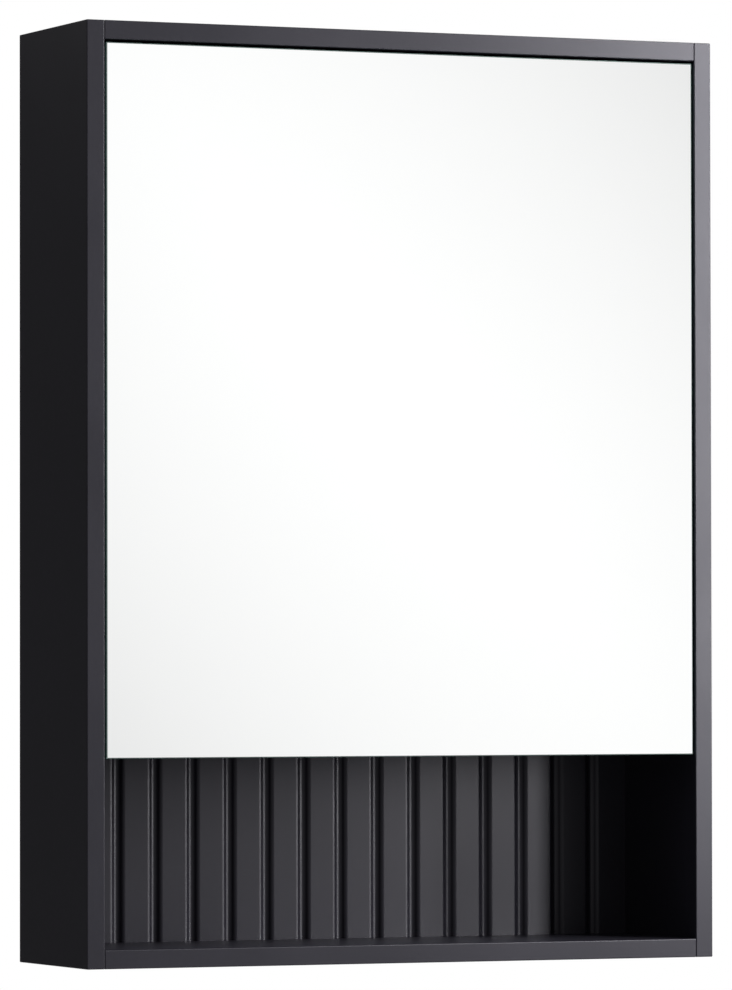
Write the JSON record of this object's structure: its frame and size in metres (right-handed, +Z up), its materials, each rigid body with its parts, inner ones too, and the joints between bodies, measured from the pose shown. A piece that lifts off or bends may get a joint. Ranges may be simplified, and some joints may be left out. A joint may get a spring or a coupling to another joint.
{
  "type": "mirror medicine cabinet",
  "caption": "Wall-hung black medicine cabinet: inset frameless mirror door on concealed hinges, glass shelves behind it and an open niche with a fluted back below.",
  "frame": {"origin": "centre of the four wall-screw holes, on the plane of the wall", "axes": "+Z up, +Y into the wall, the mirror door faces -Y, +X to the right as seen from the front"},
  "size_m": [0.55, 0.15, 0.75],
  "materials": {
    "carcass_lacquer": "satin charcoal-black lacquer on MDF",
    "fluted_lacquer": "satin charcoal-black lacquer on fluted MDF",
    "rail_board": "satin charcoal-black lacquer on MDF",
    "mirror": "silvered float glass, polished edge",
    "foam_tape": "double-sided mirror tape",
    "shelf_glass": "clear toughened glass, polished edge",
    "dowel_wood": "fluted beech dowel",
    "zinc": "zinc plated",
    "nickel": "nickel plated",
    "black_plastic": "matt black plastic",
    "grey_plastic": "matt grey plastic",
    "plunger_plastic": "smooth light grey plastic",
    "clear_rubber": "clear soft polyurethane"
  },
  "bodies": {
    "cabinet": {"back_panel": "carcass_lacquer", "back_panel_screws": "zinc", "bottom_panel": "carcass_lacquer", "cam_bolts": "zinc", "cam_caps": "black_plastic", "cam_locks": "zinc", "divider_shelf": "carcass_lacquer", "door_bumpers": "clear_rubber", "fluted_back_panel": "fluted_lacquer", "hanging_rail_bottom": "rail_board", "hanging_rail_top": "rail_board", "hinge_arm_pins": "nickel", "hinge_arm_screws": "nickel", "hinge_arms": "nickel", "hinge_plate_screws": "nickel", "hinge_plates": "nickel", "latch_housing": "grey_plastic", "latch_screws": "zinc", "shelf_lower": "shelf_glass", "shelf_pins": "nickel", "shelf_upper": "shelf_glass", "side_panel_left": "carcass_lacquer", "side_panel_right": "carcass_lacquer", "top_panel": "carcass_lacquer", "wood_dowels": "dowel_wood"},
    "outer_links": {"hinge_outer_links": "nickel"},
    "door": {"door_panel": "carcass_lacquer", "mirror_glass": "mirror", "mirror_adhesive": "foam_tape", "hinge_cups": "nickel", "hinge_cup_screws": "nickel", "hinge_cup_pins": "nickel", "latch_strike": "zinc", "strike_screws": "zinc"},
    "inner_links": {"hinge_inner_links": "nickel"},
    "push_plunger": {"latch_plunger": "plunger_plastic"}
  },
  "joints": [
    {"name": "outer_link_pivot", "type": "hinge", "parent": "cabinet", "child": "outer_links", "pos_m": [0.22635, -0.10404, 0], "axis": [0, 0, 1], "range_deg": [-21.9, 1]},
    {"name": "door_swing", "type": "hinge", "parent": "outer_links", "child": "door", "pos_m": [0.2482, -0.13678, 0], "axis": [0, 0, 1], "range_deg": [0, 115.9]},
    {"name": "inner_link_pivot", "type": "hinge", "parent": "cabinet", "child": "inner_links", "pos_m": [0.21836, -0.12655, 0], "axis": [0, 0, 1], "range_deg": [-26.65, 1]},
    {"name": "latch_press", "type": "slide", "parent": "cabinet", "child": "push_plunger", "axis": [0, 1, 0], "range_m": [0, 0.0025]}
  ],
  "couplings": [
    {"joint": "outer_link_pivot", "follows": "door_swing", "ratio": -0.18033},
    {"joint": "inner_link_pivot", "follows": "door_swing", "ratio": -0.22131}
  ]
}
